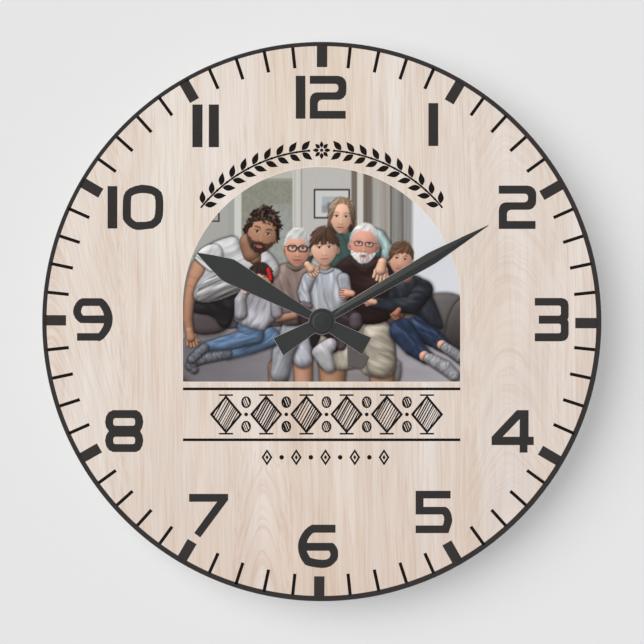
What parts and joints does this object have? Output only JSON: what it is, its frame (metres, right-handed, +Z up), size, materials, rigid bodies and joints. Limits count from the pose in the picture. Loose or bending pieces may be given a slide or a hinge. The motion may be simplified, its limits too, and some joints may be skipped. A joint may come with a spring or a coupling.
{
  "type": "photo wall clock",
  "caption": "Round wall clock: a thin printed disc with two tapered hands, on a battery quartz movement with a gear train, a setting knob and a hanging loop.",
  "frame": {"origin": "on the hands' axis, in the plane of the wall that the movement's rear face lies on", "axes": "+Z up, the dial faces -Y, +Y goes into the wall, +X to the right seen from the front"},
  "size_m": [0.273, 0.0299, 0.273],
  "materials": {
    "dial_print": "printed, semi-gloss",
    "hand_paint": "satin dark grey paint",
    "brass": "turned",
    "rubber": "matt",
    "case_plastic": "fine spark texture",
    "plate_plastic": "moulded",
    "wheel_plastic": "moulded acetal",
    "knob_plastic": "moulded",
    "steel": "bright",
    "magnet": "sintered",
    "iron": "stamped",
    "bobbin_plastic": "moulded",
    "copper": "enamelled wire",
    "board": "solder mask",
    "resin": "cast",
    "battery_skin": "glossy sleeve"
  },
  "bodies": {
    "case": {"dial_plate": "dial_print", "rubber_gasket": "rubber", "dial_washer": "brass", "hexagon_nut": "brass", "threaded_bushing": "brass", "rear_case": "case_plastic", "front_case": "case_plastic", "middle_plate": "plate_plastic", "stator": "iron", "coil_core": "iron", "coil_bobbin": "bobbin_plastic", "coil_winding": "copper", "circuit_board": "board", "clock_chip": "resin", "quartz_crystal": "steel", "positive_contact": "steel", "negative_contact": "steel"},
    "minute_group": {"minute_hand": "hand_paint", "minute_hand_bush": "brass", "hub_cap": "hand_paint", "minute_pipe": "wheel_plastic"},
    "hour_group": {"hour_hand": "hand_paint", "hour_hand_collet": "brass", "hour_wheel": "wheel_plastic"},
    "motion_group": {"motion_wheel": "wheel_plastic"},
    "setting_group": {"setting_shaft": "wheel_plastic", "setting_knob": "knob_plastic"},
    "seconds_group": {"seconds_wheel": "wheel_plastic", "seconds_arbor": "steel"},
    "intermediate_group": {"intermediate_wheel": "wheel_plastic"},
    "rotor_group": {"rotor_pinion": "steel", "rotor_magnet": "magnet"},
    "third_group": {"third_wheel": "wheel_plastic"},
    "centre_group": {"centre_wheel": "wheel_plastic"},
    "cell_group": {"battery": "battery_skin"}
  },
  "joints": [
    {"name": "minute_hand_turn", "type": "hinge", "parent": "case", "child": "minute_group", "pos_m": [0, 0, 0], "axis": [0, 1, 0], "continuous": true},
    {"name": "hour_hand_turn", "type": "hinge", "parent": "case", "child": "hour_group", "pos_m": [0, 0, 0], "axis": [0, 1, 0], "continuous": true},
    {"name": "motion_wheel_turn", "type": "hinge", "parent": "case", "child": "motion_group", "pos_m": [-0.00752, 0, -0.00274], "axis": [0, 1, 0], "continuous": true},
    {"name": "setting_knob_turn", "type": "hinge", "parent": "case", "child": "setting_group", "pos_m": [-0.01597, 0, -0.00581], "axis": [0, 1, 0], "continuous": true},
    {"name": "seconds_wheel_turn", "type": "hinge", "parent": "case", "child": "seconds_group", "pos_m": [0, 0, 0], "axis": [0, 1, 0], "continuous": true},
    {"name": "intermediate_wheel_turn", "type": "hinge", "parent": "case", "child": "intermediate_group", "pos_m": [0.00748, 0, 0.00432], "axis": [0, 1, 0], "continuous": true},
    {"name": "rotor_turn", "type": "hinge", "parent": "case", "child": "rotor_group", "pos_m": [0.00894, 0, 0.01259], "axis": [0, 1, 0], "continuous": true},
    {"name": "third_wheel_turn", "type": "hinge", "parent": "case", "child": "third_group", "pos_m": [-0.00935, 0, 0.0054], "axis": [0, 1, 0], "continuous": true},
    {"name": "centre_wheel_turn", "type": "hinge", "parent": "case", "child": "centre_group", "pos_m": [0, 0, 0], "axis": [0, 1, 0], "continuous": true},
    {"name": "cell_slide", "type": "slide", "parent": "case", "child": "cell_group", "axis": [0, 1, 0], "range_m": [0, 0.022]}
  ],
  "couplings": [
    {"joint": "hour_hand_turn", "follows": "minute_hand_turn", "ratio": 0.083333},
    {"joint": "motion_wheel_turn", "follows": "minute_hand_turn", "ratio": -0.33333},
    {"joint": "setting_knob_turn", "follows": "minute_hand_turn", "ratio": 0.66667},
    {"joint": "intermediate_wheel_turn", "follows": "seconds_wheel_turn", "ratio": -5},
    {"joint": "rotor_turn", "follows": "seconds_wheel_turn", "ratio": 30},
    {"joint": "third_wheel_turn", "follows": "seconds_wheel_turn", "ratio": -0.125},
    {"joint": "centre_wheel_turn", "follows": "seconds_wheel_turn", "ratio": 0.016667}
  ]
}
